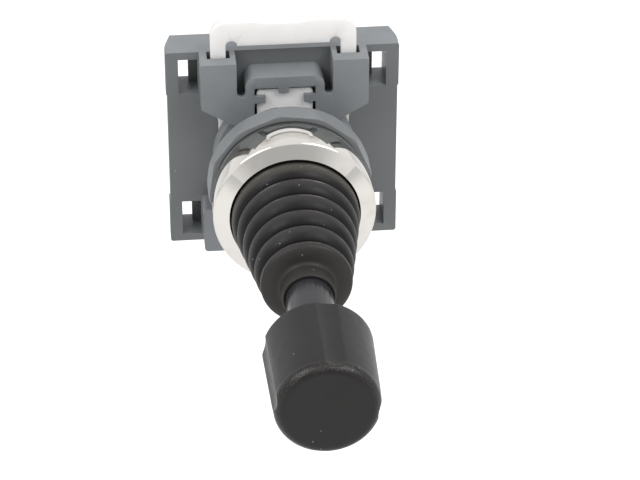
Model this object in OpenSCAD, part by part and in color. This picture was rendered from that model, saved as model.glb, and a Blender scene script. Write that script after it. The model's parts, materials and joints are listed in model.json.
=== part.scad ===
// Panel joystick with four directions, for a 22 mm class panel hole.
// Frame: +Z up, -Y towards the operator. The origin is on the stick's axis, in the plane
// of the panel's front face. All sizes are in millimetres.

/* [Panel] */
// Diameter of the panel hole that the barrel passes through
panel_hole_d = 22.5; // [22.3:0.1:23]
// Thickness of the rubber gasket behind the bezel
gasket_t = 1; // [0.6:0.1:1.4]
// Distance that the fixing ring backs off along its thread
ring_travel = 5; // [2:0.5:5.5]

/* [Bezel] */
// Largest diameter of the bezel
bezel_d = 30; // [29:0.5:32]
// Distance from the panel to the front lip of the bezel
bezel_reach = 9.6; // [9.2:0.2:12]
// Diameter of the opening that the boot comes out of
bezel_open_d = 23.6; // [23.4:0.1:24]
// Amount that the bezel's side curves in towards its rear edge
bezel_crown = 0.6; // [0.2:0.05:0.8]

/* [Boot] */
// Number of folds between the bezel and the collar
boot_folds = 6; // [5:1:7]
// Diameter over the first fold, at the bezel
boot_rear_d = 23.4; // [23:0.1:24.2]
// Diameter over the last fold, at the collar
boot_front_d = 16.4; // [14.5:0.1:18]
// Distance from one fold to the next
boot_pitch = 3.98; // [3.5:0.02:4.2]
// Depth of the grooves between the folds
fold_depth = 1.7; // [1:0.1:2]
// Thickness of the rubber
boot_wall = 0.8; // [0.5:0.1:1]
// Outer diameter of the collar that grips the stick
boot_collar_d = 9.5; // [9.3:0.1:10.5]
// Length of that collar
boot_collar_len = 4.4; // [3:0.1:5]

/* [Stick] */
// Distance from the panel to the end of the knob
stick_reach = 70; // [64:0.2:80]
// Outer diameter of the sleeve on the rod
sleeve_d = 8.4; // [7.6:0.1:8.4]
// Diameter of the steel rod inside it
rod_d = 5; // [4:0.1:5.4]
// Diameter of the threaded end behind the hub
stud_d = 3; // [2.6:0.1:3]
// Largest tilt to each side, in degrees
tilt = 15; // [10:1:15]

/* [Knob] */
// Length of the knob
knob_len = 18.3; // [15:0.1:22]
// Diameter at its rear end
knob_rear_d = 19; // [17:0.1:22]
// Diameter at its front end
knob_front_d = 17.9; // [16:0.1:20]
// Radius of the rounded front edge
knob_edge = 1.3; // [0.6:0.1:2]
// Number of finger flutes
knob_flutes = 4; // [3:1:8]
// Angle that one flute takes up on the knob
flute_angle = 23; // [12:1:26]
// Depth of a flute at its middle
flute_depth = 0.5; // [0.3:0.05:0.8]
// Turn of the first flute from the top, in degrees
flute_turn = 8.5; // [0:0.5:20]

/* [Gimbal] */
// Distance of the pivot behind the panel's front face
pivot_y = 2; // [2:0.1:2.4]
// Outer diameter of the gimbal ring
gimbal_d = 16.4; // [16:0.1:16.8]
// Thickness of the gimbal ring
gimbal_t = 2.8; // [2.4:0.1:3]
// Diameter of the bosses that the pins sit in
gimbal_boss_d = 3.6; // [3.2:0.1:3.8]
// Diameter of the ball-shaped hub
hub_d = 11; // [10.6:0.1:11.2]
// Length of the hub along the stick
hub_len = 6.8; // [6.4:0.1:7]
// Diameter of the pivot pins
pin_d = 1.6; // [1.4:0.1:1.8]

/* [Plungers] */
// Distance of each plunger from the axis
plunger_ring = 5.9; // [5.8:0.05:6]
// Diameter of a plunger
plunger_d = 2.6; // [2.4:0.1:2.7]
// Diameter of its spring collar
plunger_collar_d = 3.6; // [3.4:0.1:3.7]
// Free play between a plunger's tip and the swash plate
plunger_play = 0.65; // [0.65:0.05:0.9]
// Thickness of the swash plate's arms
swash_t = 1.4; // [1.2:0.1:1.5]
// Distance from the pivot to the swash plate's front face
swash_y = 4.3; // [4.2:0.1:4.4]
// Thickness of the guide plate
guide_t = 1.8; // [1.4:0.1:2.2]
// Thickness of the rear cap
cap_t = 2.2; // [1.6:0.1:2.6]

/* [Fixing ring] */
// Diameter over the corners of the fixing ring
ring_d = 30.6; // [29:0.1:32]
// Thickness of the fixing ring
ring_t = 3.85; // [3.2:0.05:4.2]
// Number of flats
ring_sides = 12; // [8:1:16]
// Turn of the ring's first corner from the top, in degrees
ring_turn = 22.4; // [0:0.1:30]
// Thickness of the keyed pressure washer
washer_t = 0.8; // [0.6:0.1:0.8]

/* [Adapter] */
// Distance of the adapter plate behind the panel's front face
plate_y = 17; // [17:0.1:18]
// Width of the adapter plate
plate_w = 44; // [42:0.5:50]
// Height of the adapter plate
plate_h = 41.3; // [40:0.1:48]
// Thickness of the adapter plate
plate_t = 7.2; // [6.6:0.1:9]
// Length of the towers, arch and feet in front of the plate
block_t = 5.6; // [5.4:0.1:5.8]
// Distance of the towers' outer sides from the middle
tower_out = 15.7; // [15.2:0.1:16]
// Distance of the towers' inner sides from the middle
tower_in = 9; // [8.6:0.1:9.2]
// Width of one contact-block window
window_w = 3.7; // [3:0.1:4]
// Height of one contact-block window
window_h = 7.3; // [6:0.1:7.6]
// Width of the arch between the towers
arch_w = 14.8; // [14:0.1:15.2]
// Height of the arch's roof above the axis
arch_top = 17.6; // [17.2:0.1:18.4]

/* [Bail] */
// Width over the bail's arms
bail_w = 27.2; // [26.8:0.1:27.4]
// Width of one arm
bail_arm_w = 2.8; // [2.5:0.1:2.9]
// Thickness of the bail
bail_t = 2; // [1.6:0.1:2.2]
// Height of the bail's crossbar
bail_bar_h = 4.8; // [4:0.1:6]
// Gap between the crossbar and the towers
bail_gap = 2.2; // [1.5:0.1:4]
// Distance that the bail lifts to let the barrel go
bail_lift = 7; // [7:0.5:8]

/* [Hidden] */
$fn = 96;

// Clearances
run_fit = 0.05;      // a part that turns or slides in its bore
press_fit = 0.01;    // a pin or stud that stays in its bore
seat_gap = 0.1;      // between parts of the fixed body
free_gap = 0.3;      // between parts that pass each other

// Barrel
barrel_r = panel_hole_d / 2 - 0.3;
barrel_wall = 1.15;
bore_r = barrel_r - barrel_wall;
barrel_end = plate_y + 2.5;
neck_r = barrel_r - 0.15;
flange_r = (bezel_d + bezel_open_d) / 4 - 0.5;
flange_front = -gasket_t - 4;
shoulder_y = -gasket_t - 1.2;
stop_t = 1.2;
stop_seat_r = bore_r + 1;
key_w = 3.2;
key_floor = barrel_r - 0.85;

// Bezel and boot
bezel_lip = 0.3;
bezel_crease_y = -bezel_reach + 1.2;
bezel_rear_y = -gasket_t * 0.4;
crown_front = 0.45;
bezel_rim = 0.5;
gasket_r = bezel_d / 2 - bezel_crown - bezel_rim - seat_gap;
clamp_t = 1.4;
boot_flange_t = 1;
boot_flange_r = flange_r - seat_gap;
boot_y = -bezel_reach - 1;
boot_step = (boot_rear_d - boot_front_d) / 2 / (boot_folds - 1);
dome_len = 1.9;
boot_collar_y = boot_y - boot_pitch * (boot_folds - 1) - dome_len;

// Stick
hub_front = pivot_y - hub_len / 2;
hub_rear = pivot_y + hub_len / 2;
knob_rear = -stick_reach + knob_len;
sleeve_end = knob_rear - 1.4;
sleeve_rear = boot_collar_y + 1;
rod_end = -stick_reach + 5.4;
insert_r = 3.5;
knob_mid_r = (knob_rear_d + knob_front_d) / 4;
knob_draft = atan((knob_rear_d - knob_front_d) / 2 / knob_len);
stop_half = (pivot_y - shoulder_y + stop_t) * tan(tilt) * 1.04 + rod_d / 2 * 1.04 + free_gap;

// Gimbal
gimbal_bore_r = hub_d / 2 + free_gap;
pin_r = pin_d / 2;

// Plungers and what guides them
swash_front = pivot_y + swash_y;
swash_rear = swash_front + swash_t;
swash_reach = 8.2;
swash_arm_r = 1.8;
swash_disc_r = 4;
swash_neck_r = 3.2;
nut_r = stud_d / 2 + 0.9;
nut_t = 0.5;
return_wire_r = 0.3;
return_coil_r = stud_d / 2 + 1.55;
plunger_r = plunger_d / 2;
tip_y = swash_rear + plunger_play + plunger_r;
collar_y = tip_y + 2.35;
collar_t = 1;
plunger_end = plate_y + plate_t - free_gap;
guide_y = plate_y - 1.5;
cap_y = guide_y + guide_t;
cap_end = cap_y + cap_t;
disc_r = bore_r - run_fit;
screw_ring = 8;
screw_r = 0.8;
screw_at = [1, 1] * screw_ring / sqrt(2);
screw_boss_r = bore_r - screw_ring + 0.4;
boss_len = 4.5;
// Direction of each plunger from the axis, as [x, z]
UP = [0, 1];
DOWN = [0, -1];
LEFT = [-1, 0];
RIGHT = [1, 0];

// Fixing ring
washer_y = 0.1;
ring_y = washer_y + washer_t + run_fit;
ring_bore_r = barrel_r + run_fit;
washer_r = bezel_d / 2 - 0.9;
thread_end = ring_y + ring_t + ring_travel + 0.5;

// Adapter
block_y = plate_y - block_t;
plate_end = plate_y + plate_t;
half_w = plate_w / 2;
half_h = plate_h / 2;
socket_r = neck_r + 0.3;
socket_end = plate_end - 3;
rear_open_r = 9;
collar_r = 13.6;
tower_foot = 7.4;
tower_foot_rise = 3.9;
foot_top = -half_h + 10.2;
foot_bottom = -half_h + 0.75;
arch_floor = 14.4;
gap_floor = collar_r - 2;
gap_web_t = 1.2;
web_x = tower_in + 0.5;
web_rise = 1.4;
foot_web_h = 5;
window_top = half_h - 1.55;
window_out = half_w - 2.4;
window_through = 2.1;
window_floor_t = 2;
arch_window_w = 11.5;
arch_window_top = 15.4;
insert_w = 10.5;
insert_t = 1.6;
tab_t = 0.75;
insert_y = block_y + tab_t + seat_gap;
tab_h = 1.5;
side_tab_z = arch_window_top - 3.2;

// Bail
bail_y = plate_y - 0.5 - bail_t;
bail_in = bail_w / 2 - bail_arm_w;
bar_z = half_h + bail_gap;
arm_end = -8;
dip = 0.45;
dip_r = 38;
nose_x = key_floor + 0.25;
groove_x = nose_x - 0.15;
groove_half = sqrt(neck_r * neck_r - groove_x * groove_x);
nose_half = bail_lift - groove_half - free_gap;
slot_y = bail_y - 0.4;
slot_top = max(tower_foot + 2, nose_half + bail_lift + free_gap);
arm_low_out = bail_w / 2 - 1.25;
arm_low_z = 8.6;
arm_low_end = arm_end + 1;

// ---- helpers -------------------------------------------------------------

// Cylinder along Y, from y0 to y1, at [x, z]
module rod_y(r, y0, y1, at = [0, 0], fn = 96) {
    translate([at[0], y0, at[1]]) rotate([-90, 0, 0]) cylinder(r = r, h = y1 - y0, $fn = fn);
}

// Tube along Y
module tube_y(r_out, r_in, y0, y1) {
    difference() {
        rod_y(r_out, y0, y1);
        rod_y(r_in, y0 - 1, y1 + 1);
    }
}

// Solid of revolution about Y, from [radius, y] points
module turned(points) {
    rotate([-90, 0, 0]) rotate_extrude() polygon(points);
}

// Slab from y0 to y1 with the outline of its children, drawn with x across and y as height
module slab(y0, y1) {
    translate([0, y1, 0]) rotate([90, 0, 0]) linear_extrude(y1 - y0) children();
}

// Box given by its two corners
module box(low, high) {
    translate(low) cube(high - low);
}

// Square with round corners, by its corners
module round_box(x0, y0, x1, y1, r) {
    translate([x0 + r, y0]) square([x1 - x0 - 2 * r, y1 - y0]);
    translate([x0, y0 + r]) square([x1 - x0, y1 - y0 - 2 * r]);
    for (x = [x0 + r, x1 - r], y = [y0 + r, y1 - r])
        translate([x, y]) circle(r, $fn = 32);
}

// Children on the left and on the right
module both_sides() {
    children();
    mirror([1, 0, 0]) children();
}

// Points of an arc in a profile, from angle a0 to a1
function arc(cx, cy, r, a0, a1, n = 8) =
    [for (i = [0:n]) let (a = a0 + (a1 - a0) * i / n) [cx + r * cos(a), cy + r * sin(a)]];

// Coil spring along Y between two seats, wound around [x, z]
module coil(r, wire_r, y0, y1, turns, at = [0, 0]) {
    sides = 6;
    steps = 14 * turns;
    rise = (y1 - y0 - 2 * wire_r) / steps;
    ring = [for (k = [0:steps], s = [0:sides - 1])
        let (a = k * 360 * turns / steps, w = s * 360 / sides, q = r + wire_r * cos(w))
        [at[0] + q * cos(a), y0 + wire_r + k * rise + wire_r * sin(w), at[1] + q * sin(a)]];
    skin = [for (k = [0:steps - 1], s = [0:sides - 1])
        let (n = (s + 1) % sides)
        [k * sides + s, k * sides + n, (k + 1) * sides + n, (k + 1) * sides + s]];
    first = [for (s = [sides - 1:-1:0]) s];
    last = [for (s = [0:sides - 1]) steps * sides + s];
    polyhedron(ring, concat(skin, [first, last]));
}

// ---- front element -------------------------------------------------------

// Crowned side, then a crease and a conical face up to the lip
module bezel() {
    n = 10;
    side = [for (i = [0:n])
        [bezel_d / 2 - bezel_crown * pow((1 + crown_front) * i / n - crown_front, 2),
         bezel_crease_y + (bezel_rear_y - bezel_crease_y) * i / n]];
    crease_r = side[0][0];
    color([0.85, 0.86, 0.87]) turned(concat(
        [[bezel_open_d / 2, -bezel_reach], [bezel_open_d / 2 + bezel_lip, -bezel_reach],
         [crease_r - 0.25, bezel_crease_y - 0.1]],
        side,
        [[gasket_r + seat_gap, bezel_rear_y], [gasket_r + seat_gap, -gasket_t],
         [flange_r + seat_gap, -gasket_t],
         [flange_r + seat_gap, flange_front - clamp_t - boot_flange_t - seat_gap],
         [bezel_open_d / 2, flange_front - clamp_t - boot_flange_t - seat_gap]]));
}

// In the bezel's rear recess and under the barrel's flange
module gasket() {
    color([0.13, 0.13, 0.14]) tube_y(gasket_r, barrel_r + run_fit, -gasket_t, 0);
}

// Barrel: flange in the bezel, full diameter as far as the ring travels, then a neck,
// a keyway on top and locking grooves at the sides
module barrel() {
    color([0.16, 0.16, 0.17]) difference() {
        union() {
            rod_y(flange_r, flange_front, -gasket_t);
            rod_y(barrel_r, flange_front, thread_end);
            rod_y(neck_r, flange_front, barrel_end);
        }
        difference() {
            rod_y(bore_r, flange_front - 1, barrel_end + 1);
            for (side = [1, -1])
                rod_y(screw_boss_r, guide_y - boss_len, guide_y, side * screw_at, 32);
        }
        rod_y(stop_seat_r, flange_front - 1, shoulder_y);
        box([-key_w / 2, 0, key_floor], [key_w / 2, barrel_end + 1, barrel_r + 1]);
        both_sides() box([groove_x, slot_y, -barrel_r], [barrel_r + 1, plate_y, barrel_r]);
        both_sides() translate([bore_r - 1, pivot_y, 0]) rotate([0, 90, 0])
            cylinder(r = pin_r + press_fit, h = barrel_wall + 2, $fn = 32);
        for (side = [1, -1])
            rod_y(screw_r + press_fit, guide_y - boss_len + 0.5, guide_y + 1, side * screw_at, 24);
    }
}

// Steel plate whose square window stops the stick at the end of its tilt
module stop_plate() {
    color([0.6, 0.61, 0.62]) difference() {
        rod_y(stop_seat_r - seat_gap, shoulder_y - stop_t, shoulder_y);
        slab(shoulder_y - stop_t - 1, shoulder_y + 1)
            round_box(-stop_half, -stop_half, stop_half, stop_half, 1.5);
    }
}

module boot_clamp_ring() {
    color([0.55, 0.56, 0.57])
        tube_y(flange_r - seat_gap, bezel_open_d / 2 - 1.2, flange_front - clamp_t, flange_front);
}

// Radius and place of the boot's waved skin at u folds from the first crest
function fold_r(u, inset) = boot_rear_d / 2 - boot_step * u - inset
    - fold_depth * pow((1 - cos(360 * u)) / 2, 1.4);
function fold_y(u) = boot_y - boot_pitch * u;

module boot() {
    n = 10;
    last = boot_folds - 1;
    collar_r0 = boot_collar_d / 2;
    grip_r = sleeve_d / 2 + run_fit;
    dome_y = fold_y(last);
    collar_y0 = boot_collar_y;
    collar_y1 = collar_y0 - boot_collar_len;
    root_r = bezel_open_d / 2 - seat_gap;
    flange_y0 = flange_front - clamp_t - boot_flange_t;
    outer = [for (i = [0:n * last]) [fold_r(i / n, 0), fold_y(i / n)]];
    inner = [for (i = [n * last:-1:0]) [fold_r(i / n, boot_wall), fold_y(i / n)]];
    dome_r = boot_front_d / 2;
    dome = [for (a = [15:15:75]) [collar_r0 + (dome_r - collar_r0) * cos(a), dome_y - dome_len * sin(a)]];
    color([0.1, 0.1, 0.1]) turned(concat(
        [[root_r - boot_wall, flange_y0 + boot_flange_t], [boot_flange_r, flange_y0 + boot_flange_t],
         [boot_flange_r, flange_y0], [root_r, flange_y0], [root_r, -bezel_reach]],
        outer, dome,
        [[collar_r0, collar_y0], [collar_r0, collar_y1 + 0.3], [collar_r0 - 0.2, collar_y1],
         [grip_r, collar_y1], [grip_r, collar_y0 + boot_wall * 0.6]],
        inner,
        [[root_r - boot_wall, -bezel_reach]]));
}

// ---- gimbal and stick ----------------------------------------------------

// Two pins in the barrel's wall that carry the gimbal ring
module gimbal_pins() {
    color([0.75, 0.76, 0.77]) both_sides() translate([gimbal_bore_r + 0.4, pivot_y, 0])
        rotate([0, 90, 0]) cylinder(r = pin_r, h = barrel_r - 0.25 - gimbal_bore_r - 0.4, $fn = 32);
}

module gimbal_ring() {
    color([0.8, 0.78, 0.72]) difference() {
        union() {
            rod_y(gimbal_d / 2, pivot_y - gimbal_t / 2, pivot_y + gimbal_t / 2);
            for (a = [0:90:270]) translate([0, pivot_y, 0]) rotate([0, a, 0])
                cylinder(r = gimbal_boss_d / 2, h = gimbal_d / 2 - 0.15, $fn = 40);
        }
        rod_y(gimbal_bore_r, pivot_y - gimbal_d, pivot_y + gimbal_d);
        both_sides() translate([0, pivot_y, 0]) rotate([0, 90, 0])
            cylinder(r = pin_r + run_fit, h = gimbal_d, $fn = 32);
        for (a = [0, 180]) translate([0, pivot_y, 0]) rotate([0, a, 0])
            cylinder(r = pin_r + press_fit, h = gimbal_d, $fn = 32);
    }
}

// Two pins in the gimbal ring that carry the stick's hub
module hub_pins() {
    color([0.75, 0.76, 0.77]) for (a = [0, 180]) translate([0, pivot_y, 0]) rotate([0, a, 0])
        translate([0, 0, rod_d / 2 + 1]) cylinder(r = pin_r, h = gimbal_d / 2 - 0.25 - rod_d / 2 - 1, $fn = 32);
}

module pivot_hub() {
    color([0.2, 0.2, 0.21]) difference() {
        intersection() {
            translate([0, pivot_y, 0]) sphere(hub_d / 2);
            rod_y(hub_d, hub_front, hub_rear);
        }
        rod_y(rod_d / 2 + press_fit, hub_front - 1, hub_rear + 1);
        for (a = [0, 180]) translate([0, pivot_y, 0]) rotate([0, a, 0])
            translate([0, 0, rod_d / 2 + 0.8]) cylinder(r = pin_r + run_fit, h = hub_d, $fn = 32);
    }
}

module stick_rod() {
    color([0.62, 0.63, 0.64]) {
        turned([[0, rod_end], [rod_d / 2 - 0.4, rod_end], [rod_d / 2, rod_end + 0.4],
                [rod_d / 2, hub_rear], [stud_d / 2, hub_rear],
                [stud_d / 2, swash_rear + 0.7], [stud_d / 2 - 0.2, swash_rear + 0.9], [0, swash_rear + 0.9]]);
    }
}

// Sleeve from the knob into the boot's collar; only the rod goes on from there
module stick_sleeve() {
    color([0.12, 0.12, 0.13]) tube_y(sleeve_d / 2, rod_d / 2 + press_fit, sleeve_end, sleeve_rear);
}

// Knob with a slight draft, a rounded end and shallow concave flutes
module knob() {
    half = flute_angle / 2;
    rise = knob_mid_r * (1 - cos(half));
    chord = knob_mid_r * sin(half);
    sink = flute_depth - rise;
    cut_r = (chord * chord + sink * sink) / (2 * sink);
    cut_x = knob_mid_r - flute_depth + cut_r;
    front = -stick_reach;
    front_r = knob_front_d / 2;
    color([0.2, 0.2, 0.2]) difference() {
        turned(concat(
            [[0, front]],
            arc(front_r - knob_edge, front + knob_edge, knob_edge, -90, 0),
            arc(knob_rear_d / 2 - 0.6, knob_rear - 0.6, 0.6, 0, 90, 5),
            [[0, knob_rear]]));
        for (i = [0:knob_flutes - 1])
            translate([0, knob_rear - knob_len / 2, 0]) rotate([0, flute_turn + i * 360 / knob_flutes, 0])
                translate([0, 0, cut_x]) rotate([knob_draft - 90, 0, 0])
                    cylinder(r = cut_r, h = knob_len * 1.4, center = true);
        rod_y(insert_r + press_fit, rod_end - 1.5, knob_rear + 1);
        rod_y(sleeve_d / 2 + press_fit, sleeve_end, knob_rear + 1);
    }
}

// Threaded brass insert moulded into the knob
module knob_insert() {
    color([0.76, 0.62, 0.32]) tube_y(insert_r, rod_d / 2 + press_fit, rod_end - 1.4, sleeve_end - seat_gap);
}

// Cross of four arms that tilts with the stick and pushes the plungers
module swash_plate() {
    arm_x = swash_reach - swash_arm_r;
    color([0.66, 0.67, 0.68]) difference() {
        union() {
            rod_y(swash_disc_r, swash_front, swash_rear);
            rod_y(swash_neck_r, hub_rear, swash_front);
            for (dir = [UP, DOWN, LEFT, RIGHT]) rod_y(swash_arm_r, swash_front, swash_rear, dir * arm_x, 40);
            box([-arm_x, swash_front, -swash_arm_r], [arm_x, swash_rear, swash_arm_r]);
            box([-swash_arm_r, swash_front, -arm_x], [swash_arm_r, swash_rear, arm_x]);
        }
        rod_y(stud_d / 2 + press_fit, hub_rear - 1, swash_rear + 1);
    }
}

module push_nut() {
    color([0.5, 0.5, 0.52]) tube_y(nut_r, stud_d / 2 + press_fit, swash_rear, swash_rear + nut_t);
}

module return_spring() {
    color([0.7, 0.7, 0.72]) coil(return_coil_r, return_wire_r, swash_rear, guide_y, 5);
}

// ---- plungers ------------------------------------------------------------

module disc_with_holes(y0, y1, hole_r) {
    difference() {
        rod_y(disc_r, y0, y1);
        for (dir = [UP, DOWN, LEFT, RIGHT]) rod_y(hole_r, y0 - 1, y1 + 1, dir * plunger_ring, 40);
        for (side = [1, -1]) rod_y(screw_r + run_fit, y0 - 1, y1 + 1, side * screw_at, 24);
    }
}

module guide_plate() {
    color([0.82, 0.8, 0.75]) disc_with_holes(guide_y, cap_y, plunger_r + run_fit);
}

module rear_cap() {
    color([0.18, 0.18, 0.19]) disc_with_holes(cap_y, cap_end, plunger_r + free_gap);
}

module cap_screws() {
    color([0.72, 0.73, 0.74]) for (side = [1, -1]) {
        at = side * screw_at;
        difference() {
            union() {
                rod_y(screw_r, guide_y - boss_len + 1, cap_end, at, 24);
                rod_y(1.5, cap_end, cap_end + 1, at, 32);
            }
            translate([at[0], cap_end + 1, at[1]]) cube([1.8, 1, 0.4], center = true);
            translate([at[0], cap_end + 1, at[1]]) cube([0.4, 1, 1.8], center = true);
        }
    }
}

module plunger(dir) {
    at = dir * plunger_ring;
    color([0.86, 0.85, 0.8]) union() {
        translate([at[0], tip_y, at[1]]) sphere(plunger_r, $fn = 40);
        rod_y(plunger_r, tip_y, plunger_end, at, 40);
        rod_y(plunger_collar_d / 2, collar_y, collar_y + collar_t, at, 40);
    }
}

module plunger_spring(dir) {
    color([0.7, 0.7, 0.72])
        coil(plunger_r + 0.3, 0.2, collar_y + collar_t, guide_y, 4, dir * plunger_ring);
}

// ---- fixing ring ---------------------------------------------------------

// Washer with a tooth in the barrel's keyway, so that it doesn't turn with the ring
module pressure_washer() {
    color([0.3, 0.31, 0.32]) union() {
        tube_y(washer_r, barrel_r + free_gap, washer_y, washer_y + washer_t);
        box([-key_w / 2 + 0.2, washer_y, key_floor + 0.2],
            [key_w / 2 - 0.2, washer_y + washer_t, barrel_r + 1]);
    }
}

// Round at the rear, with flats that grow towards the front edge
module fixing_ring() {
    flat = ring_d / 2 * cos(180 / ring_sides);
    lean = atan((ring_d / 2 - flat) / ring_t);
    color([0.45, 0.46, 0.47]) difference() {
        turned([[ring_bore_r + 0.4, ring_y], [ring_d / 2 - 0.2, ring_y], [ring_d / 2, ring_y + 0.2],
                [ring_d / 2, ring_y + ring_t - 0.5], [ring_d / 2 - 0.5, ring_y + ring_t],
                [ring_bore_r + 0.4, ring_y + ring_t], [ring_bore_r, ring_y + ring_t - 0.4],
                [ring_bore_r, ring_y + 0.4]]);
        for (i = [0:ring_sides - 1])
            rotate([0, ring_turn + (i + 0.5) * 360 / ring_sides, 0])
                translate([0, ring_y, flat]) rotate([lean, 0, 0])
                    translate([-ring_d / 4, -2, 0]) cube([ring_d / 2, ring_t + 4, 5]);
    }
}

// ---- adapter -------------------------------------------------------------

module plate_body() {
    taper = 1.2;
    straight = plate_t * 0.4;
    intersection() {
        translate([0, 0, -half_h]) linear_extrude(plate_h) polygon([
            [-half_w, plate_y], [half_w, plate_y], [half_w, plate_y + straight],
            [half_w - taper, plate_end], [taper - half_w, plate_end], [-half_w, plate_y + straight]]);
        slab(plate_y, plate_end) round_box(-half_w, -half_h, half_w, half_h, 0.5);
    }
}

// Outline of one tower, over the arm of the bail, with a sloping lower edge
module tower_outline() {
    polygon([[tower_in, tower_foot], [tower_out, tower_foot + tower_foot_rise],
             [tower_out, half_h], [tower_in, half_h]]);
}

module arch_outline() {
    round_box(-arch_w / 2, 0, arch_w / 2, arch_top, 2);
}

// Arch window with three hooked tabs over the insert
module arch_window() {
    half = arch_window_w / 2;
    slab(block_y - 1, insert_y + insert_t) round_box(-half, 0, half, arch_window_top, 0.4);
}

module arch_tabs() {
    half = arch_window_w / 2;
    bite = 0.2;
    slab(block_y, block_y + tab_t) {
        translate([-1.2, arch_window_top - tab_h + 0.3]) square([1.9, tab_h]);
        translate([-half - bite, side_tab_z]) square([2.1 + bite, tab_h]);
        translate([half - 2.2, side_tab_z]) square([2.2 + bite, tab_h]);
    }
}

module adapter() {
    through = plate_end + 1;
    color([0.44, 0.45, 0.46]) union() {
        difference() {
            union() {
                plate_body();
                slab(block_y, plate_y + 1) both_sides_2d() {
                    tower_outline();
                    round_box(tower_in, foot_bottom, tower_out, foot_top, 0.8);
                }
                slab(block_y, plate_y + 1) {
                    arch_outline();
                    translate([-web_x, tower_foot]) square([2 * web_x, arch_floor - tower_foot]);
                    translate([-web_x, foot_top - foot_web_h + web_rise]) square([2 * web_x, foot_web_h]);
                }
                turned([[0, block_y + 0.6], [collar_r - 0.5, block_y + 0.6], [collar_r, block_y + 2.1],
                        [collar_r, plate_y + 1], [0, plate_y + 1]]);
            }
            // two gaps beside the arch, with round floors and hollow behind a thin front web
            for (x = [-1, 1] * (arch_w / 2 + tower_in) / 2)
                rod_y((tower_in - arch_w / 2) / 2, block_y - 1, plate_y, [x, arch_floor], 32);
            both_sides() box([arch_w / 2, block_y + gap_web_t, gap_floor], [tower_in, plate_y, arch_floor]);
            // socket for the barrel and opening for the plungers
            rod_y(socket_r, block_y - 2, socket_end);
            rod_y(rear_open_r, socket_end - 1, through);
            arch_window();
            both_sides() {
                // channel of the bail's arm, open below the tower
                box([bail_in - 0.8, slot_y, tower_foot - 1], [bail_w / 2 + 0.7, plate_y, half_h + 1]);
                box([groove_x - 0.3, slot_y, foot_top], [bail_w / 2 + 0.7, plate_y, slot_top]);
                // windows for the hooks of the contact blocks, open in their outer half
                for (z = [window_top - window_h, -window_top]) {
                    box([window_out - window_w, plate_y - 1, z], [window_out, plate_end - window_floor_t, z + window_h]);
                    box([window_out - window_through, plate_y, z], [window_out, through, z + window_h]);
                }
                // middle of the side edge, set back a little
                box([half_w - 0.2, plate_y - 1, -window_top + window_h],
                    [half_w + 1, through, window_top - window_h]);
            }
        }
        arch_tabs();
    }
}

module both_sides_2d() {
    children();
    mirror([1, 0]) children();
}

// Pale insert behind the arch window, with a nose in the barrel's keyway
module locating_insert() {
    half = insert_w / 2;
    color([0.8, 0.81, 0.8]) union() {
        difference() {
            slab(insert_y, insert_y + insert_t) round_box(-half, 0, half, arch_window_top - 0.7, 0.9);
            rod_y(neck_r + run_fit, insert_y - 1, insert_y + insert_t + 1);
        }
        box([-key_w / 2 + 0.2, insert_y, key_floor + 0.2], [key_w / 2 - 0.2, insert_y + insert_t, socket_r + 1]);
    }
}

// ---- bail ----------------------------------------------------------------

module bail_outline() {
    half = bail_w / 2;
    top = bar_z + bail_bar_h;
    difference() {
        union() {
            round_box(-half, bar_z - 3, half, top, 2.9);
            both_sides_2d() {
                polygon([[bail_in, arm_low_end], [bail_in + 0.4, arm_end], [arm_low_out - 0.5, arm_end],
                         [arm_low_out - 0.1, arm_low_end], [arm_low_out, arm_low_z - 1.5],
                         [half, arm_low_z + 2], [half, bar_z], [bail_in, bar_z]]);
                polygon([[nose_x, -nose_half + 0.4], [nose_x + 0.4, -nose_half], [bail_in + 1, -nose_half],
                         [bail_in + 1, nose_half], [nose_x + 0.4, nose_half], [nose_x, nose_half - 0.4]]);
            }
        }
        translate([-bail_in, bar_z - 10]) square([2 * bail_in, 10]);
        // relief notches in the inner corners and a shallow dip in the top edge
        both_sides_2d() translate([bail_in - 1.1, bar_z]) circle(1.1, $fn = 32);
        translate([0, top + dip_r - dip]) circle(dip_r, $fn = 200);
    }
}

module bail() {
    color([0.92, 0.92, 0.9]) slab(bail_y, bail_y + bail_t) bail_outline();
}

// ---- parts ---------------------------------------------------------------

bezel();
gasket();
barrel();
stop_plate();
boot_clamp_ring();
boot();
gimbal_pins();
gimbal_ring();
hub_pins();
pivot_hub();
stick_rod();
stick_sleeve();
knob();
knob_insert();
swash_plate();
push_nut();
return_spring();
guide_plate();
rear_cap();
cap_screws();
plunger(UP);  // plunger_up
plunger(DOWN);  // plunger_down
plunger(LEFT);  // plunger_left
plunger(RIGHT);  // plunger_right
plunger_spring(UP);  // spring_up
plunger_spring(DOWN);  // spring_down
plunger_spring(LEFT);  // spring_left
plunger_spring(RIGHT);  // spring_right
pressure_washer();
fixing_ring();
adapter();
locating_insert();
bail();
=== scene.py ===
"""Looks of the panel joystick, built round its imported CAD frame.

Sizes are in millimetres and become metres through MM. The frame's axes hold: +Z up,
-Y towards the operator, origin on the stick's axis in the plane of the panel's front.
"""

import json
import math

import bmesh
import bpy
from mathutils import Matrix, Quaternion, Vector

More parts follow.
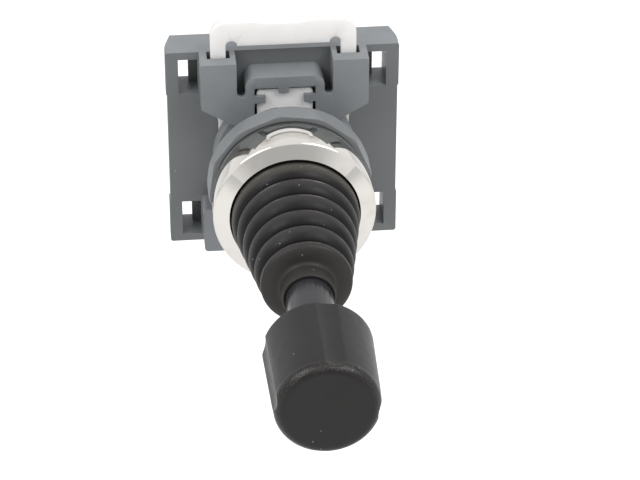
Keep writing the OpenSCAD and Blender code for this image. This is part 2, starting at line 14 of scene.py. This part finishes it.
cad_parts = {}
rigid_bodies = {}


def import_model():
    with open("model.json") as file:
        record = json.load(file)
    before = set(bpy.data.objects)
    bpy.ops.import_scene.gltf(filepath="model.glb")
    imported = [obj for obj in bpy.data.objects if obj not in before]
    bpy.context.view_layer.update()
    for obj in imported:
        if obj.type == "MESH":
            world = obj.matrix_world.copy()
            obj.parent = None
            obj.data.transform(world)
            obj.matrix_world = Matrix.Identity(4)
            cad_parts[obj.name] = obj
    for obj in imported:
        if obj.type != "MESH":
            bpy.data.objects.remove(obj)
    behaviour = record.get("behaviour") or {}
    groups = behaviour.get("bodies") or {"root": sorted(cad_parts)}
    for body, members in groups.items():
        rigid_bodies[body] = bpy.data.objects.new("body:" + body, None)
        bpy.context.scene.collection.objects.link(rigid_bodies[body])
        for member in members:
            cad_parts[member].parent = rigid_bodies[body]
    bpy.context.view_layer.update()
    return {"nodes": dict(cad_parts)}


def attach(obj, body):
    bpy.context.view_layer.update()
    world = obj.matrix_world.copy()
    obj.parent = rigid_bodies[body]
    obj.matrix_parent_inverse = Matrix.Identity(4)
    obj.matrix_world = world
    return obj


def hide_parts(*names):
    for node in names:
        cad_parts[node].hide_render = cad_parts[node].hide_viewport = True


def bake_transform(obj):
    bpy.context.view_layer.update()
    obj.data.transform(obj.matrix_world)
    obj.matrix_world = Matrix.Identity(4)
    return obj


MM = 0.001
WHITE = (1, 1, 1, 1)

# Camera of the photograph
AZIMUTH, ELEVATION, ROLL = -5.64, 32.3, 0.12
LENS, SENSOR = 145.0, 36.0
CAMERA_AT = (-34.83, -407.93, 247.79)

# Bezel
BEZEL_R, BEZEL_FRONT, BEZEL_REAR = 15.0, -9.6, -0.4
CREASE_Y, CREASE_SOFT = -8.4, 0.35
BEZEL_CROWN, CROWN_FRONT = 0.6, 0.24
REAR_BEVEL = 0.12
OPENING_R, LIP_R = 11.8, 0.3
CAVITY_R, CAVITY_Y = 13.0, -7.5
GASKET_SEAT_R, GASKET_SEAT_Y = 13.9, -1.0

# Boot
FOLDS, FOLD_PITCH, FOLD_DEPTH = 6, 4.12, 1.7
FOLD_ROUNDING = 0.97
FIRST_FOLD_R, LAST_FOLD_R = 11.7, 8.15
FIRST_FOLD_Y = BEZEL_FRONT - 1.6
BOOT_WALL = 0.8
DOME_LEN = 1.1
COLLAR_R, COLLAR_LEN, COLLAR_EDGE = 4.75, 3.6, 0.25
SLEEVE_R = 4.2
SEAM_U = 1.5

# Knob
KNOB_REAR, KNOB_FRONT = -51.7, -70.0
KNOB_REAR_R, KNOB_FRONT_R = 9.5, 8.95
KNOB_EDGE, KNOB_REAR_EDGE = 1.8, 0.6
KNOB_FACE_R, KNOB_BORE_DEPTH = 6.6, 1.4
FLUTES, FLUTE_ANGLE, FLUTE_DEPTH, FLUTE_TURN = 4, 23.0, 0.5, 8.5
FLUTE_EASE, RIM_EASE = 0.0016, 0.002

# Front face of the adapter's plate
PLATE_Y = 17.0

# Fineness of moulded plastic's grain
GRAIN = 0.12

# Edges of CAD nodes that turn by more than this many degrees are rounded
EDGE_ANGLE = 32

# Floor, far enough down for its shadow to fall outside the view
FLOOR_Z, FLOOR_HALF = -110.0, 1600.0

# Brightness, where 1 is white. The tent's, for surfaces and for mirrored rays: straight in
# front of the part, elsewhere, and the Y of a direction by which it has risen to the latter.
TENT_FRONT = -0.97
TENT_LIGHT = (0.42, 0.80, -0.1)
TENT_MIRRORED = (0.56, 1.0, -0.82)
FLOOR_GLOW, FLOOR_GLOW_MIRRORED = 0.35, 0.10

# Softboxes: name, place, width and height in metres, and brightness
SOFTBOXES = (
    ("left_light", (-0.42, -0.27, 0.48), 0.36, 0.34, 4.2),
    ("right_light", (0.33, -0.28, 0.50), 0.34, 0.34, 4.8),
)


def linear(*rgb):
    """An sRGB colour of 0 to 255 as a linear RGBA colour."""
    channels = [c / 255 for c in rgb]
    return [c / 12.92 if c <= 0.04045 else ((c + 0.055) / 1.055) ** 2.4 for c in channels] + [1.0]


def shade(rgba, factor):
    return [min(1.0, c * factor) for c in rgba[:3]] + [1.0]


# ---- nodes and materials -------------------------------------------------


class Nodes:
    """Short calls for the nodes of a material or a world."""

    def __init__(self, tree):
        self.tree = tree

    def add(self, kind, **settings):
        node = self.tree.nodes.new(kind)
        for key, value in settings.items():
            setattr(node, key, value)
        return node

    def link(self, value, socket):
        """Feeds a socket from another one, or gives it a number or colour."""
        if isinstance(value, bpy.types.NodeSocket):
            self.tree.links.new(value, socket)
        else:
            socket.default_value = value

    def math(self, operation, a, b):
        node = self.add("ShaderNodeMath", operation=operation)
        self.link(a, node.inputs[0])
        self.link(b, node.inputs[1])
        return node.outputs[0]

    def y_of(self, vector):
        node = self.add("ShaderNodeSeparateXYZ")
        self.link(vector, node.inputs[0])
        return node.outputs["Y"]

    def span(self, fac, low, high, start=0.3, end=0.7):
        """fac between start and end, spread over low to high."""
        node = self.add("ShaderNodeMapRange", interpolation_type="SMOOTHSTEP")
        for socket, value in zip(node.inputs, (fac, start, end, low, high)):
            self.link(value, socket)
        return node.outputs[0]

    def rays(self):
        """Sockets that are 1 for the camera's rays, and for mirrored or refracted rays."""
        path = self.add("ShaderNodeLightPath").outputs
        mirrored = self.math("MAXIMUM", path["Is Glossy Ray"], path["Is Transmission Ray"])
        return path["Is Camera Ray"], mirrored


class Shader(Nodes):
    """A Principled material."""

    def __init__(self, name, **sockets):
        self.material = bpy.data.materials.new(name)
        self.material.use_nodes = True
        super().__init__(self.material.node_tree)
        self.bsdf = self.tree.nodes["Principled BSDF"]
        for socket, value in sockets.items():
            self.bsdf.inputs[socket.replace("_", " ")].default_value = value
        places = self.add("ShaderNodeTexCoord").outputs
        self.coords, self.normal = places["Object"], places["Normal"]

    def noise(self, size, detail=3.0, stretch=(1, 1, 1)):
        """Noise whose features measure about `size` mm, longer along an axis that is stretched."""
        scale = self.add("ShaderNodeVectorMath", operation="MULTIPLY")
        self.link(self.coords, scale.inputs[0])
        scale.inputs[1].default_value = [1 / s for s in stretch]
        node = self.add("ShaderNodeTexNoise")
        self.link(scale.outputs[0], node.inputs["Vector"])
        node.inputs["Scale"].default_value = 1 / (size * MM)
        node.inputs["Detail"].default_value = detail
        return node.outputs["Fac"]

    def along_y(self, low, high, start, end):
        """low to high between two places on the Y axis, in mm."""
        return self.span(self.y_of(self.coords), low, high, start * MM, end * MM)

    def mix(self, fac, a, b):
        node = self.add("ShaderNodeMix", data_type="RGBA")
        self.link(fac, node.inputs[0])
        self.link(a, node.inputs[6])
        self.link(b, node.inputs[7])
        return node.outputs[2]

    def specks(self, spacing, size, share):
        """1 inside scattered specks of about `size` mm, and 0 elsewhere."""
        cells = self.add("ShaderNodeTexVoronoi")
        self.link(self.coords, cells.inputs["Vector"])
        cells.inputs["Scale"].default_value = 1 / (spacing * MM)
        chosen = self.add("ShaderNodeSeparateColor")
        self.link(cells.outputs["Color"], chosen.inputs[0])
        near = self.math("LESS_THAN", cells.outputs["Distance"], size / 2 / spacing)
        return self.math("MULTIPLY", near, self.math("LESS_THAN", chosen.outputs[0], share))

    def bump(self, *layers):
        """Chains bumps, each given as (height, depth in mm)."""
        normal = None
        for height, depth in layers:
            node = self.add("ShaderNodeBump")
            node.inputs["Distance"].default_value = depth * MM
            self.link(height, node.inputs["Height"])
            if normal:
                self.link(normal, node.inputs["Normal"])
            normal = node.outputs[0]
        self.link(normal, self.bsdf.inputs["Normal"])

    def colour(self, value):
        self.link(value, self.bsdf.inputs["Base Color"])

    def roughness(self, value):
        self.link(value, self.bsdf.inputs["Roughness"])


def plastic(name, rgb, roughness, depth=0.004, dust=0.0):
    """Moulded plastic: faint flow clouds, fine grain, uneven gloss and, if asked, some dust."""
    s = Shader(name)
    base = linear(*rgb)
    fine = s.noise(GRAIN, 2.0)
    body = s.mix(s.span(s.noise(7.0), 0.0, 1.0), shade(base, 0.94), shade(base, 1.06))
    body = s.mix(s.span(fine, 0.0, 0.35), body, shade(base, 1.16))
    if dust:
        body = s.mix(s.specks(1.3, 0.24, dust), body, linear(176, 174, 168))
    s.colour(body)
    s.roughness(s.span(s.noise(2.4, 4.0), roughness - 0.05, roughness + 0.06))
    s.bump((s.noise(1.6), depth), (fine, depth))
    return s.material


def adapter_plastic():
    """Grey glass-filled plastic; the plate's front face is textured, and darker than the towers by
    painted shade.
    """
    s = Shader("adapter_plastic", Specular_IOR_Level=0.45)
    on_plate = s.along_y(0.0, 1.0, PLATE_Y - 0.6, PLATE_Y - 0.2)
    faces_front = s.span(s.y_of(s.normal), 1.0, 0.0, -0.95, -0.6)
    painted_shade_and_texture = s.math("MULTIPLY", on_plate, faces_front)
    fine = s.noise(GRAIN, 2.0)
    body = s.mix(s.span(s.noise(7.0), 0.0, 1.0), linear(123, 127, 130), linear(130, 134, 137))
    body = s.mix(s.span(fine, 0.0, 0.3), body, linear(144, 148, 151))
    # painted shade: the plate's front-facing faces get a darker colour; the same mask also makes
    # them rougher
    body = s.mix(painted_shade_and_texture, body, linear(111, 114, 115))
    body = s.mix(s.specks(1.6, 0.2, 0.02), body, linear(186, 186, 182))
    s.colour(body)
    satin = s.span(s.noise(2.4, 4.0), 0.33, 0.42)
    s.roughness(s.math("ADD", satin, s.math("MULTIPLY", painted_shade_and_texture, 0.12)))
    s.bump((s.noise(1.6), 0.004), (fine, 0.004))
    return s.material


def metal(name, rgb, roughness, lines=0.08):
    """Turned or drawn metal with fine tool marks round the Y axis."""
    s = Shader(name, Metallic=1.0)
    base = linear(*rgb)
    marks = s.noise(lines, stretch=(14, 1, 14))
    s.colour(s.mix(s.span(s.noise(3.0), 0.0, 1.0), shade(base, 0.9), base))
    s.roughness(s.span(marks, roughness - 0.06, roughness + 0.08))
    s.bump((marks, 0.002))
    return s.material


def chrome():
    """Polished plate with a few wiped smears and pinpoints."""
    s = Shader("chrome_plate", Metallic=1.0)
    smears = s.span(s.noise(5.0, 4.0, stretch=(1, 2.5, 1)), 0.0, 1.0, 0.5, 0.75)
    s.colour(s.mix(smears, linear(222, 219, 214), linear(212, 208, 202)))
    s.roughness(s.span(smears, 0.035, 0.09, 0.0, 1.0))
    s.bump((s.noise(6.0, 1.0), 0.006), (s.specks(1.6, 0.16, 0.12), 0.004))
    return s.material


def boot_rubber():
    """Black rubber with a bloom, dust by the bezel, painted groove shade, a painted lit end and
    specks.
    """
    s = Shader("boot_rubber", Specular_IOR_Level=0.24)
    bloom = s.span(s.noise(3.2, 4.0), 0.0, 0.3, 0.45, 0.75)
    body = s.mix(bloom, linear(48, 46, 46), linear(58, 56, 55))
    dusty = s.along_y(0.0, 0.6, FIRST_FOLD_Y - 2.6, FIRST_FOLD_Y - 0.4)
    body = s.mix(dusty, body, linear(78, 75, 68))
    from_first = s.math("SUBTRACT", s.y_of(s.coords), FIRST_FOLD_Y * MM)
    from_crest = s.math("PINGPONG", s.math("DIVIDE", from_first, FOLD_PITCH * MM), 0.5)
    # painted shade: darker from each crest's flank down into its groove
    body = s.mix(s.span(from_crest, 0.0, 1.0, 0.08, 0.36), body, linear(9, 9, 9))
    last_fold_y = FIRST_FOLD_Y - FOLD_PITCH * (FOLDS - 1)
    painted_lit_end = s.along_y(1.0, 0.0, last_fold_y - 0.5, last_fold_y + 0.6)
    # painted light: past the last crest the skin gets an even tone, lighter than the grooves'
    # painted shade
    body = s.mix(painted_lit_end, body, linear(50, 48, 46))
    body = s.mix(s.specks(0.9, 0.17, 0.10), body, linear(176, 174, 166))
    s.colour(body)
    s.roughness(s.span(s.noise(1.5), 0.38, 0.48))
    s.bump((s.noise(0.9), 0.008), (s.noise(0.16, 2.0), 0.003))
    return s.material


def knob_plastic():
    """Satin black; the rounded front edge is grained with painted glints, the end face is smooth
    and dark.
    """
    s = Shader("knob_plastic", Specular_IOR_Level=0.38)
    behind_end = s.along_y(0.0, 1.0, KNOB_FRONT + 0.02, KNOB_FRONT + 0.3)
    before_side = s.along_y(1.0, 0.0, KNOB_FRONT + 1.1, KNOB_FRONT + 2.3)
    grained = s.math("MULTIPLY", behind_end, before_side)
    grain = s.noise(0.17, 2.0)
    body = s.mix(s.span(s.noise(5.0), 0.0, 1.0), linear(18, 15, 14), linear(22, 19, 18))
    # painted highlight: grains on the rounded front edge are lightened into glints
    painted_glints = s.math("MULTIPLY", s.span(grain, 0.0, 0.55, 0.5, 0.64), grained)
    body = s.mix(painted_glints, body, linear(78, 76, 74))
    body = s.mix(s.specks(1.3, 0.18, 0.07), body, linear(170, 168, 162))
    s.colour(body)
    satin = s.span(s.noise(2.0), 0.33, 0.39)
    s.roughness(s.math("SUBTRACT", satin, s.math("MULTIPLY", grained, 0.13)))
    s.bump((s.noise(2.6, 2.0), 0.008), (s.math("MULTIPLY", grain, grained), 0.05), (grain, 0.002))
    return s.material


def nylon(name, rgb, glow, depth):
    """Natural nylon: light goes in by about `depth` mm, and the surface is waxy."""
    s = Shader(name, Subsurface_Weight=glow, Subsurface_Radius=(1.0, 0.95, 0.88),
               Subsurface_Scale=depth * MM)
    base = linear(*rgb)
    s.colour(s.mix(s.span(s.noise(5.0), 0.0, 1.0), shade(base, 0.97), base))
    s.roughness(s.span(s.noise(1.8), 0.36, 0.48))
    s.bump((s.noise(2.4, 2.0), 0.010), (s.noise(0.2, 2.0), 0.002))
    return s.material


def floor_paper():
    """Pale paper, lifted to white where the camera sees it, and a little in reflections."""
    s = Shader("floor_paper", Base_Color=(0.86, 0.86, 0.86, 1), Roughness=0.9,
               Specular_IOR_Level=0.0, Emission_Color=WHITE)
    camera, mirrored = s.rays()
    glow = s.math("ADD", s.math("MULTIPLY", camera, FLOOR_GLOW),
                  s.math("MULTIPLY", mirrored, FLOOR_GLOW_MIRRORED))
    s.link(glow, s.bsdf.inputs["Emission Strength"])
    return s.material


# ---- meshes --------------------------------------------------------------


def add_to_scene(name, data):
    obj = bpy.data.objects.new(name, data)
    bpy.context.scene.collection.objects.link(obj)
    return obj


def smooth(mesh):
    mesh.polygons.foreach_set("use_smooth", [True] * len(mesh.polygons))


def new_object(name, verts, faces, material):
    mesh = bpy.data.meshes.new(name)
    mesh.from_pydata([Vector(v) * MM for v in verts], [], faces)
    smooth(mesh)
    bm = bmesh.new()
    bm.from_mesh(mesh)
    bmesh.ops.remove_doubles(bm, verts=bm.verts, dist=1e-6)
    bmesh.ops.recalc_face_normals(bm, faces=bm.faces)
    bm.to_mesh(mesh)
    bm.free()
    mesh.materials.append(material)
    return add_to_scene(name, mesh)


def lathe(name, profile, material, segments=192, closed=True, radius_at=None):
    """Turns (radius, y) points round the Y axis; radius_at(r, y, angle) may reshape each ring."""
    verts = []
    for r, y in profile:
        for k in range(segments):
            a = 2 * math.pi * k / segments
            q = radius_at(r, y, a) if radius_at else r
            verts.append((q * math.sin(a), y, q * math.cos(a)))
    rings = len(profile)
    faces = []
    for i in range(rings if closed else rings - 1):
        j = (i + 1) % rings
        for k in range(segments):
            n = (k + 1) % segments
            faces.append((i * segments + k, i * segments + n, j * segments + n, j * segments + k))
    return new_object(name, verts, faces, material)


def arc(cx, cy, r, start, end, steps):
    """Profile points on an arc, angles in degrees."""
    angles = [math.radians(start + (end - start) * i / steps) for i in range(steps + 1)]
    return [(cx + r * math.cos(a), cy + r * math.sin(a)) for a in angles]


def eased_corner(start, corner, end, steps=5):
    """Profile points from start to end that round off the corner between them."""
    points = []
    for i in range(steps + 1):
        t = i / steps
        points.append(tuple((1 - t) ** 2 * a + 2 * t * (1 - t) * b + t * t * c
                            for a, b, c in zip(start, corner, end)))
    return points


def eased_min(a, b, ease):
    """The lesser of two numbers, with a smooth change from one to the other."""
    return (a + b - math.sqrt((a - b) ** 2 + ease)) / 2


def crisp(obj, width):
    """Welds a CAD node's split corners, rounds its edges and keeps its flats flat."""
    smooth(obj.data)
    weld = obj.modifiers.new("weld", "WELD")
    weld.merge_threshold = 1e-6
    if width:
        bevel = obj.modifiers.new("edges", "BEVEL")
        bevel.width = width * MM
        bevel.segments = 2
        bevel.limit_method = "ANGLE"
        bevel.angle_limit = math.radians(EDGE_ANGLE)
        bevel.miter_outer = "MITER_ARC"
    weighted = obj.modifiers.new("normals", "WEIGHTED_NORMAL")
    weighted.keep_sharp = False
    weighted.weight = 100


# ---- the pieces ----------------------------------------------------------


def dress(material, *names, edge=0.0):
    """Gives CAD nodes that are shown as they are a material, and edges of this width in mm."""
    for name in names:
        node = frame["nodes"][name]
        node.data.materials.clear()
        node.data.materials.append(material)
        crisp(node, edge)


def make_bezel(material):
    """Cone face between a rounded lip and a crease, crowned side, and the seats inside."""
    length = BEZEL_REAR - CREASE_Y

    def side(t):
        """Crowned side, with t from 0 at the crease to 1 at the rear edge."""
        bulge = (1 + CROWN_FRONT) * t - CROWN_FRONT
        return BEZEL_R - BEZEL_CROWN * bulge ** 2, CREASE_Y + length * t

    crease_r = side(0)[0]
    slope = Vector((OPENING_R + LIP_R - crease_r, BEZEL_FRONT - CREASE_Y))
    width = slope.length

    def face(d):
        """Point of the cone face, d mm from the crease."""
        return crease_r + slope.x * d / width, CREASE_Y + slope.y * d / width

    # points close to the ends of the face, which keep its reflections flat between them
    ends = (width - 0.05, width - 0.12, CREASE_SOFT + 0.12, CREASE_SOFT + 0.05)
    start, steps = CREASE_SOFT / length, 24
    profile = (
        arc(OPENING_R + LIP_R, BEZEL_FRONT + LIP_R, LIP_R, 180, 270, 8)
        + [face(d) for d in ends]
        + eased_corner(face(CREASE_SOFT), (crease_r, CREASE_Y), side(start))
        + [side(start + (0.98 - start) * i / steps) for i in range(1, steps + 1)]
        + [(side(1)[0] - REAR_BEVEL, BEZEL_REAR), (GASKET_SEAT_R, BEZEL_REAR),
           (GASKET_SEAT_R, GASKET_SEAT_Y), (CAVITY_R, GASKET_SEAT_Y),
           (CAVITY_R, CAVITY_Y), (OPENING_R, CAVITY_Y)]
    )
    bezel = lathe("bezel_ring", profile, material, segments=256)
    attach(bezel, "housing")
    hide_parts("bezel")


def fold(u, inset=0.0):
    """Radius and place of the boot's skin u folds from its first crest."""
    step = (FIRST_FOLD_R - LAST_FOLD_R) / (FOLDS - 1)
    across = 2 * abs(u - round(u))
    dip = (1 - math.sqrt(1 - FOLD_ROUNDING * across ** 2)) / (1 - math.sqrt(1 - FOLD_ROUNDING))
    return FIRST_FOLD_R - step * u - inset - FOLD_DEPTH * dip, FIRST_FOLD_Y - FOLD_PITCH * u


def wave(start, end, inset):
    """Profile points of the boot's skin from one place on its folds to another."""
    steps = round(abs(end - start) * 32)
    return [fold(start + (end - start) * i / steps, inset) for i in range(steps + 1)]


def make_boot(material):
    """Two lengths of one bellows, which part in a groove."""
    root_r = OPENING_R - 0.1
    flange_r = CAVITY_R - 0.2
    flange_front, flange_rear = CAVITY_Y + 0.1, CAVITY_Y + 1.0
    rear = (
        [(root_r - BOOT_WALL, flange_rear), (flange_r, flange_rear), (flange_r, flange_front),
         (root_r, flange_front), (root_r, BEZEL_FRONT)]
        + wave(0, SEAM_U, 0) + wave(SEAM_U, 0, BOOT_WALL) + [(root_r - BOOT_WALL, BEZEL_FRONT)]
    )
    last = FOLDS - 1
    dome_r, dome_y = fold(last)
    collar_y = dome_y - DOME_LEN
    end_y = collar_y - COLLAR_LEN
    grip_r = SLEEVE_R + 0.05
    dome = [(COLLAR_R + (dome_r - COLLAR_R) * math.cos(math.radians(a)),
             dome_y - DOME_LEN * math.sin(math.radians(a))) for a in range(8, 88, 8)]
    front = (
        wave(SEAM_U, last, 0) + dome
        + [(COLLAR_R + 0.05, collar_y - 0.25), (COLLAR_R, collar_y - 0.6)]
        + arc(COLLAR_R - COLLAR_EDGE, end_y + COLLAR_EDGE, COLLAR_EDGE, 0, -90, 4)
        + [(grip_r, end_y), (grip_r, collar_y + BOOT_WALL * 0.6)]
        + wave(last, SEAM_U, BOOT_WALL)
    )
    rear_piece = lathe("boot_rear", rear, material)
    front_piece = lathe("boot_front", front, material)
    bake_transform(rear_piece)
    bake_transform(front_piece)
    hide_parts("boot")
    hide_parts("boot")


def make_knob(material):
    """Tapered grip, whose shallow flutes run out over its rounded edges."""
    half = math.radians(FLUTE_ANGLE / 2)
    pitch = 2 * math.pi / FLUTES
    first = math.radians(FLUTE_TURN)

    def side_radius(y):
        along = (KNOB_REAR - y) / (KNOB_REAR - KNOB_FRONT)
        return KNOB_REAR_R + (KNOB_FRONT_R - KNOB_REAR_R) * along

    def fluted(r, y, angle):
        """The radius, cut down to the flutes' floor; the inner rings stay round."""
        if r <= KNOB_REAR_R * 0.7:
            return r
        off = (angle - first + pitch / 2) % pitch - pitch / 2
        sunk = -eased_min((off / half) ** 2 - 1, 0, FLUTE_EASE)
        return eased_min(side_radius(y) - FLUTE_DEPTH * sunk, r, RIM_EASE)

    axis, bore = 0.001, SLEEVE_R + 0.01
    bore_y = KNOB_REAR - KNOB_BORE_DEPTH
    profile = (
        [(r, KNOB_FRONT) for r in (axis, 2.0, 4.0, 5.6, KNOB_FACE_R)]
        + arc(KNOB_FRONT_R - KNOB_EDGE, KNOB_FRONT + KNOB_EDGE, KNOB_EDGE, -90, 0, 14)
        + [(side_radius(y), y) for y in (-66, -63, -60, -57, -54)]
        + arc(KNOB_REAR_R - KNOB_REAR_EDGE, KNOB_REAR - KNOB_REAR_EDGE, KNOB_REAR_EDGE, 0, 90, 8)
        + [(KNOB_FACE_R, KNOB_REAR), (bore, KNOB_REAR), (bore, bore_y), (axis, bore_y)]
    )
    knob = lathe("knob_grip", profile, material, segments=384, closed=False, radius_at=fluted)
    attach(knob, "stick")
    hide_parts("knob")


# ---- stage ---------------------------------------------------------------


def aim(obj, back, roll=0.0):
    """Turns a camera or lamp to look along -back."""
    turn = Quaternion((0, 0, 1), math.radians(roll))
    obj.rotation_mode = "QUATERNION"
    obj.rotation_quaternion = (-back).to_track_quat("-Z", "Y") @ turn


def make_camera():
    azimuth, elevation = math.radians(AZIMUTH), math.radians(ELEVATION)
    back = Vector((math.sin(azimuth) * math.cos(elevation),
                   -math.cos(azimuth) * math.cos(elevation), math.sin(elevation)))
    data = bpy.data.cameras.new("camera")
    data.lens, data.sensor_width = LENS, SENSOR
    data.clip_start, data.clip_end = 0.01, 20.0
    camera = add_to_scene("camera", data)
    camera.location = Vector(CAMERA_AT) * MM
    aim(camera, back, ROLL)
    bpy.context.scene.camera = camera


def make_world():
    """A light tent: white to the camera and in reflections, dim only behind the camera."""
    world = bpy.data.worlds.new("tent")
    world.use_nodes = True
    bpy.context.scene.world = world
    s = Nodes(world.node_tree)
    direction_y = s.y_of(s.add("ShaderNodeTexCoord").outputs["Generated"])
    camera, mirrored = s.rays()

    def tent(dim, bright, risen):
        return s.span(direction_y, dim, bright, TENT_FRONT, risen)

    def choose(fac, a, b):
        """a where fac is 0, and b where it is 1."""
        node = s.add("ShaderNodeMix")
        for socket, value in (("Factor", fac), ("A", a), ("B", b)):
            s.link(value, node.inputs[socket])
        return node.outputs["Result"]

    unseen = choose(mirrored, tent(*TENT_LIGHT), tent(*TENT_MIRRORED))
    background = s.tree.nodes["Background"]
    background.inputs["Color"].default_value = WHITE
    s.link(choose(camera, unseen, 1.0), background.inputs["Strength"])


def make_floor():
    """Pale floor, which keeps the part's shadow."""
    signs = ((-1, -1), (1, -1), (1, 1), (-1, 1))
    corners = [(x * FLOOR_HALF, y * FLOOR_HALF, FLOOR_Z) for x, y in signs]
    floor = new_object("floor", corners, [(0, 1, 2, 3)], floor_paper())


def add_softbox(name, at, width, height, brightness):
    """Area lamp that faces the part."""
    data = bpy.data.lights.new(name, "AREA")
    data.shape = "RECTANGLE"
    data.size, data.size_y = width, height
    data.energy = math.pi * width * height * brightness
    lamp = add_to_scene(name, data)
    lamp.location = at
    aim(lamp, Vector(at))


# ---- the scene -----------------------------------------------------------

for leftover in list(bpy.data.objects):
    bpy.data.objects.remove(leftover)
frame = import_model()

dress(plastic("gasket_rubber", (38, 38, 40), 0.65), "gasket", edge=0.1)
dress(plastic("barrel_plastic", (52, 52, 54), 0.5), "barrel", "rear_cap")
dress(plastic("hub_acetal", (56, 56, 58), 0.4), "pivot_hub")
dress(plastic("acetal", (222, 219, 208), 0.4),
      "plunger_up", "plunger_down", "plunger_left", "plunger_right")
dress(metal("turned_steel", (196, 197, 199), 0.28),
      "stop_plate", "boot_clamp_ring", "gimbal_pins", "hub_pins", "stick_rod", "swash_plate")
dress(metal("spring_wire", (205, 205, 208), 0.25, lines=0.05),
      "push_nut", "return_spring", "spring_up", "spring_down", "spring_left", "spring_right")
dress(metal("turned_brass", (214, 178, 104), 0.3), "knob_insert")
dress(metal("zinc_screw", (200, 202, 204), 0.35), "cap_screws")
dress(nylon("natural_nylon", (219, 214, 202), 0.2, 2.0), "gimbal_ring", "guide_plate")
dress(plastic("sleeve_gloss", (40, 40, 44), 0.2, depth=0.002, dust=0.03), "stick_sleeve")
dress(plastic("washer_plastic", (52, 53, 54), 0.5), "pressure_washer")
dress(plastic("ring_plastic", (122, 125, 127), 0.45), "fixing_ring", edge=0.12)
dress(adapter_plastic(), "adapter", edge=0.25)
dress(nylon("insert_nylon", (255, 255, 254), 0.15, 0.5), "locating_insert", edge=0.12)
dress(nylon("bail_nylon", (245, 242, 240), 0.7, 3.0), "bail", edge=0.3)
make_bezel(chrome())
make_boot(boot_rubber())
make_knob(knob_plastic())

make_world()
make_floor()
for softbox in SOFTBOXES:
    add_softbox(*softbox)
make_camera()
bpy.context.scene.view_settings.view_transform = "Standard"
